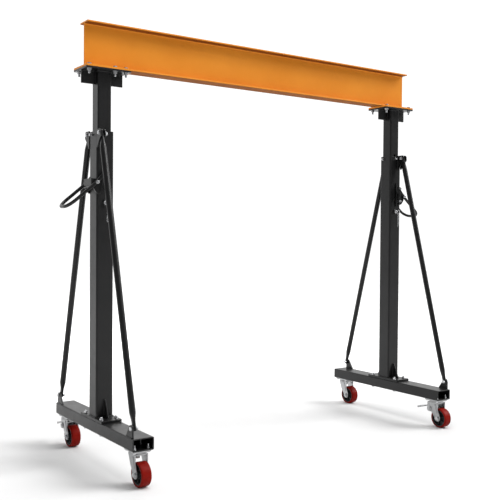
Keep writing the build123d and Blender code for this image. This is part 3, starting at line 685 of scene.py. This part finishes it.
def leg(sx, side):
    X = sx * SX
    body = side + "_leg"

    def ox(u):
        return X + sx * u

    # weld beads
    w = Mesh()
    bead(w, round_square(X, 50.0, 10.0, 266.3), 4.6, closed=True)
    for j in (-1, 1):
        for t in (-1, 1):
            bead(w, [P(X + t * 4.0, j * 51.0, 268), P(X + t * 4.0, j * 51.0, 360)], 3.0)
            bead(w, [P(X + t * 4.0, j * 54, 266.0), P(X + t * 4.0, j * 98, 266.0)], 3.0)
            bead(w, [P(ox(51.5 + t * 5.3), j * 433, 252.0), P(ox(51.5 + t * 5.3), j * 500, 252.0)], 3.0)
        bead(w, [P(ox(21.8), j * 51.0, 1752), P(ox(21.8), j * 51.0, 1842)], 3.4)
        pts = [P(ox(16.6), j * 51.0, 1574), P(ox(16.6), j * 51.0, 1565.5), P(ox(29.6), j * 51.0, 1503),
               P(ox(33.5), j * 51.0, 1498.2), P(ox(48), j * 51.0, 1498.2)]
        bead(w, pts, 2.8)
        ring = [P(X + 16.8 * math.cos(a), j * 50.8, 1447 + 16.8 * math.sin(a))
                for a in np.linspace(0, 2 * math.pi, 49)[:-1]]
        bead(w, ring, 2.6, closed=True)
        # the foot plate is stitched to the base beam along its long edges
        for i in (-1, 1):
            for c in (-90, 0, 90):
                bead(w, [P(X + i * 59.0, c - 22, 251.4), P(X + i * 59.0, c + 22, 251.4)], 2.2) if j > 0 else None
    w.done("weld_beads_" + side, body, "black_paint")

    # fasteners
    b = Mesh()
    for i in (-1, 1):
        for j in (-1, 1):
            bolt(b, P(X + i * 44.0, j * 106.0, 184.0), (0, 0, 1), True, 81.0, 97.0, 6.0, af=18.0, pitch=1.75,
                 head_h=7.5, nut_h=8.0, washer_t=1.8, washer_r=11.2, turn=float(rng.uniform(0, 60)))
    b.done("foot_bolts_detailed_" + side, body, "bright_steel", ["foot_bolts_" + side])

    b = Mesh()
    out = np.array((sx, 0, 0), float)
    for (y, z, head, grip) in ((82.0, 1826.0, 15.0, 30.0), (490.0, 299.0, 18.0, 26.2)):
        for sy in (-1, 1):
            bolt(b, P(ox(BRACE_U + head), sy * y, z), -out, True, grip, grip + 13.0, 6.0, af=18.0, head_h=7.0,
                 nut_h=7.2, washer_t=1.6, washer_r=10.6, turn=float(rng.uniform(0, 60)), nylon=False)
    b.done("brace_bolts_detailed_" + side, body, "bright_steel", ["brace_bolts_" + side])

    b = Mesh()
    for axis, y in (((0, 1, 0), 0.0), ((1, 0, 0), 20.0)):
        for s in (-1, 1):
            d = np.array(axis, float) * s
            face = P(X, y, 1822.0) + d * 0.05
            # lock nut against the post, then thread, then the head
            base = frame_at(face, d, (0, 0, 1))
            v, f = hexagon(14.6, 5.0, bottom=True, bore=4.7)
            b.add(v, f, base @ np.array(((0.94, -0.34, 0, 0), (0.34, 0.94, 0, 0), (0, 0, 1, 0), (0, 0, 0, 1.0))))
            v, f = thread(4.9, -9.3, 10.0, 1.5)
            b.add(v, f, base)
            k = np.eye(4)
            k[2, 3] = 0.009
            v, f = hexagon(13.8, 6.0)
            b.add(v, f, base @ k)
    b.done("guide_screws_detailed_" + side, body, "bright_steel", ["guide_screws_" + side])

    b = Mesh()
    bolt(b, P(ox(60.0), -82.9, 1556.5), (0, 1, 0), True, 165.8, 176.3, 6.0, af=16.4, head_h=6.7, nut_h=6.5,
         washer_t=1.5, washer_r=9.4, turn=17.0)
    b.done("lever_pivot_detailed_" + side, body, "bright_steel", ["lever_pivot_" + side])

    # plated screw at each inner end of the lever, and plated pins in the links
    b = Mesh()
    c = Mesh()
    for j in (-1, 1):
        base = frame_at(P(ox(12.0), j * 87.4, 1611.0), (0, j, 0), (0, 0, 1))
        v, f = hexagon(15.2, 5.9, crown=0.3)
        b.add(v, f, base)
        base = frame_at(P(ox(12.0), 0.0, 1522.0), (0, j, 0), (0, 0, 1))
        v, f = lathe([(5.15, 87.1), (5.55, 87.3), (5.55, 96.4), (4.7, 97.3), (0.6, 97.5)], 32)
        c.add(v, f, base)
        v, f = washer(9.0, 5.3, 87.05, 88.7)
        c.add(v, f, base)
        v, f = lathe([(4.7, 62.2), (5.55, 63.0), (5.55, 81.7), (5.15, 81.9)], 32)
        c.add(v, f, base)
    b.done("lever_end_screws_" + side, "lever_" + side, "bright_steel")
    c.done("link_pins_plated_" + side, "links_" + side, "bright_steel")

    b = Mesh()
    for sy in (-1, 1):
        for i in (-1, 1):
            for j in (-1, 1):
                bolt(b, P(X + i * 39.0, sy * CASTER_Y + j * 44.0, 176.0), (0, 0, 1), True, 14.0, 38.0, 5.0,
                     af=15.6, pitch=1.5, head_h=6.5, nut_h=7.6, washer_t=1.4, washer_r=10.2,
                     turn=float(rng.uniform(0, 60)), head_washer=False)
    b.done("caster_bolts_detailed_" + side, body, "bright_steel", ["caster_bolts_" + side])

    # braces
    for sy, tag in ((-1, "near"), (1, "far")):
        b = Mesh()
        brace(b, P(ox(BRACE_U), sy * 82.0, 1826.0), P(ox(BRACE_U), sy * 490.0, 299.0), (1, 0, 0))
        b.done(f"brace_tube_{tag}_{side}", body, "black_paint", [f"brace_{tag}_{side}"], angle=50)

    # pull ring, chain and clip on the near pin
    chain(X, side)

    for sy, tag in ((-1, "near"), (1, "far")):
        caster(X, sy * CASTER_Y, f"{tag}_{side}", (sx, sy) in ((1, -1), (-1, 1)))


def chain(X, side):
    c = Mesh()
    yc = -81.5
    # split ring: two turns side by side
    for off in (-0.7, 0.7):
        pts = [P(X + off, yc + 13.5 * math.cos(a), 1447 + 13.5 * math.sin(a))
               for a in np.linspace(0, 2 * math.pi, 65)[:-1]]
        c.add(*sweep(pts, 0.0008, 8, closed=True))
    z = 1447 - 13.5 + 0.8 + 1.2 + 0.3
    half, r_end, r = 3.0, 3.1, 1.15
    step = 2 * (half + r_end) - 2 * r - 0.15
    for i in range(7):
        zc = z - half - r_end
        pts = []
        for (sgn, a0) in ((1, 0), (-1, 180)):
            for a in np.linspace(0, math.pi, 11):
                q = a + math.radians(a0)
                u, v = r_end * math.cos(q), sgn * half + r_end * math.sin(q)
                lean = 0.25 * math.sin(i * 1.7)
                pts.append(P(X + u + lean, yc, zc + v) if i % 2 == 0 else P(X + lean, yc + u, zc + v))
        c.add(*sweep(resample(pts, 0.0007, True)[0], r / 1000, 8, closed=True))
        z -= step
    # hairpin clip
    z += 0.2
    pts = []
    for a in np.linspace(math.radians(-60), math.radians(240), 22):
        pts.append((4.6 * math.cos(a), z - 4.6 - 0.2 + 4.6 * math.sin(a)))
    left = pts[-1]
    rightp = pts[0]
    prong = [(rightp[0] - 0.6, z - 13), (rightp[0] - 1.0, z - 27.5)]
    wave = [(left[0] + 0.6, z - 12), (left[0] - 0.4, z - 15), (left[0] - 1.4, z - 18.5), (left[0] + 0.6, z - 22),
            (left[0] - 1.2, z - 26.5)]
    line = [P(X + a, yc, b) for a, b in list(reversed(prong)) + pts + wave]
    path = resample(line, 0.0009)[0]
    for _ in range(3):
        path[1:-1] = (path[:-2] + 2 * path[1:-1] + path[2:]) / 4
    c.add(*sweep(path, 0.00125, 8))
    c.done("pin_chain_detailed_" + side, "pin_near_" + side, "bright_steel", ["pin_chain_" + side], angle=60)


def caster(X, cy, tag, braked):
    ay, az = cy - TRAIL, WHEEL_R
    centre = P(X, ay, az)
    ax = frame_at(centre, (1, 0, 0), (0, 0, 1))

    # tread: crowned, with radiused shoulders
    t = Mesh()
    half = [(53.5, 27.4), (57.4, 28.0), (59.2, 27.9), (60.7, 27.3), (61.9, 26.1), (62.7, 24.2), (63.15, 21.4),
            (63.32, 17.0), (63.42, 11.0), (63.47, 5.0), (63.5, 0.35)]
    prof = [(r, -z) for r, z in half] + list(reversed(half))
    v, f = lathe(prof, 96, closed=True)
    t.add(v, f, ax)
    t.done("tread_moulded_" + tag, "wheel_" + tag, "red_tread", ["wheel_tread_" + tag], angle=40)

    # core: rim with a bead, web, hub, cast ribs
    c = Mesh()
    half = [(10.03, 29.0), (11.0, 30.0), (18.2, 30.0), (19.8, 28.4), (20.4, 22.0), (23.4, 8.6), (25.5, 7.0),
            (42.6, 6.6), (44.8, 8.0), (47.0, 21.5), (48.0, 25.2), (49.4, 26.4), (52.7, 26.4), (53.5, 25.6)]
    prof = [(r, -z) for r, z in half] + list(reversed(half))
    v, f = lathe(prof, 80, closed=True)
    c.add(v, f, ax)
    for k in range(6):
        a = math.radians(60 * k + 12)
        ca, sa = math.cos(a), math.sin(a)
        for s in (-1, 1):
            # each rib is a small tapering block with rounded top
            secs = []
            for r0, h, half in ((19.5, 22.0, 3.8), (24.5, 18.6, 3.2), (32.5, 16.6, 2.9), (40.5, 17.2, 3.0), (47.0, 20.5, 3.8)):
                loop = [(-half - 0.6, 5.5), (-half, h - 1.6), (-half + 1.0, h - 0.3), (0, h), (half - 1.0, h - 0.3),
                        (half, h - 1.6), (half + 0.6, 5.5)]
                ring = [(r0 * ca - q * sa, r0 * sa + q * ca, s * e) for q, e in loop]
                secs.append(np.array(ring) / 1000)
            v, f = rings_to_mesh(secs)
            c.add(v, f, ax)
    c.done("wheel_core_cast_" + tag, "wheel_" + tag, "wheel_core", ["wheel_core_" + tag], angle=35)

    # axle bolt, spacer sleeve and nut
    a = Mesh()
    f_ = 37.0
    v, f = lathe([(9.95, -32.0), (9.95, 32.0), (6.0, 32.0), (6.0, -32.0)], 40, closed=True)
    a.add(v, f, ax)
    bolt(a, P(X + f_, ay, az), (-1, 0, 0), True, 74.0, 86.0, 6.0, af=22.6, head_h=8.0, nut_h=7.6, washer_t=1.5,
         washer_r=13.4, turn=22.0, nylon=True)
    a.done("axle_detailed_" + tag, "caster_" + tag, "bright_steel", ["axle_" + tag])


leg(-1, "left")
leg(1, "right")


# ------------------------------------------------------------ floor and lights
t = Tree("studio_floor")
mottle = t.noise(1.4, 3.0)
fcol = t.mix(t.ramp(mottle, 0.3, 0.7), rgb(0.72, 0.72, 0.72), rgb(0.74, 0.74, 0.74))
fr = t.ramp(t.noise(9.0, 3.0), 0.3, 0.7, 0.62, 0.72)
floor_mat = t.set(Base_Color=fcol, Roughness=fr, Metallic=0.0)
t.bsdf.inputs["Specular IOR Level"].default_value = 0.2
# the sweep glows faintly far from the crane
far = t.nt.nodes.new("ShaderNodeVectorMath")
far.operation = "LENGTH"
t.nt.links.new(t.coord, far.inputs[0])
t.nt.links.new(t.ramp(far.outputs["Value"], 4.0, 13.0, 0.0, 0.3), t.bsdf.inputs["Emission Strength"])
t.bsdf.inputs["Emission Color"].default_value = (1, 1, 1, 1)
me = bpy.data.meshes.new("studio_floor")
n = 96
ring = [(26 * math.cos(2 * math.pi * i / n), 26 * math.sin(2 * math.pi * i / n), 0.0) for i in range(n)]
me.from_pydata(ring, [], [tuple(range(n))])
me.materials.append(floor_mat)
floor = bpy.data.objects.new("studio_floor", me)
bpy.context.scene.collection.objects.link(floor)

world = bpy.data.worlds.new("studio")
bpy.context.scene.world = world
world.use_nodes = True
nt = world.node_tree
nt.nodes.clear()
wo = nt.nodes.new("ShaderNodeOutputWorld")
bg = nt.nodes.new("ShaderNodeBackground")
nt.links.new(bg.outputs[0], wo.inputs[0])
tc = nt.nodes.new("ShaderNodeTexCoord")
dot = nt.nodes.new("ShaderNodeVectorMath")
dot.operation = "DOT_PRODUCT"
az = math.radians(20)
dot.inputs[1].default_value = (math.sin(az), math.cos(az), 0.0)
nt.links.new(tc.outputs["Generated"], dot.inputs[0])
mr = nt.nodes.new("ShaderNodeMapRange")
mr.interpolation_type = "SMOOTHSTEP"
mr.inputs[1].default_value = math.cos(math.radians(82))
mr.inputs[2].default_value = math.cos(math.radians(52))
mr.inputs[3].default_value = 0.26
mr.inputs[4].default_value = 1.12
nt.links.new(dot.outputs["Value"], mr.inputs[0])
nt.links.new(mr.outputs[0], bg.inputs["Strength"])
bg.inputs["Color"].default_value = (1, 1, 1, 1)


def area(name, at, target, size, power, colour=(1, 1, 1)):
    d = bpy.data.lights.new(name, "AREA")
    d.shape = "SQUARE"
    d.size = size
    d.energy = power
    d.color = colour
    o = bpy.data.objects.new(name, d)
    bpy.context.scene.collection.objects.link(o)
    o.location = at
    o.rotation_euler = (Vector(target) - Vector(at)).to_track_quat("-Z", "Y").to_euler()
    return o


key = bpy.data.objects.new("key", bpy.data.lights.new("key", "SUN"))
key.data.energy = 2.95
key.data.angle = math.radians(34)
bpy.context.scene.collection.objects.link(key)
key.rotation_euler = Vector((-0.89, 0.455, -0.84)).to_track_quat("-Z", "Y").to_euler()
area("top", (0.0, -0.4, 6.5), (0.0, 0.0, 0.0), 4.0, 210.0)
back = area("backdrop", (1.0, 3.2, 5.0), (3.5, 11.0, 0.0), 4.0, 800.0)
back.visible_camera = False
back.visible_glossy = False
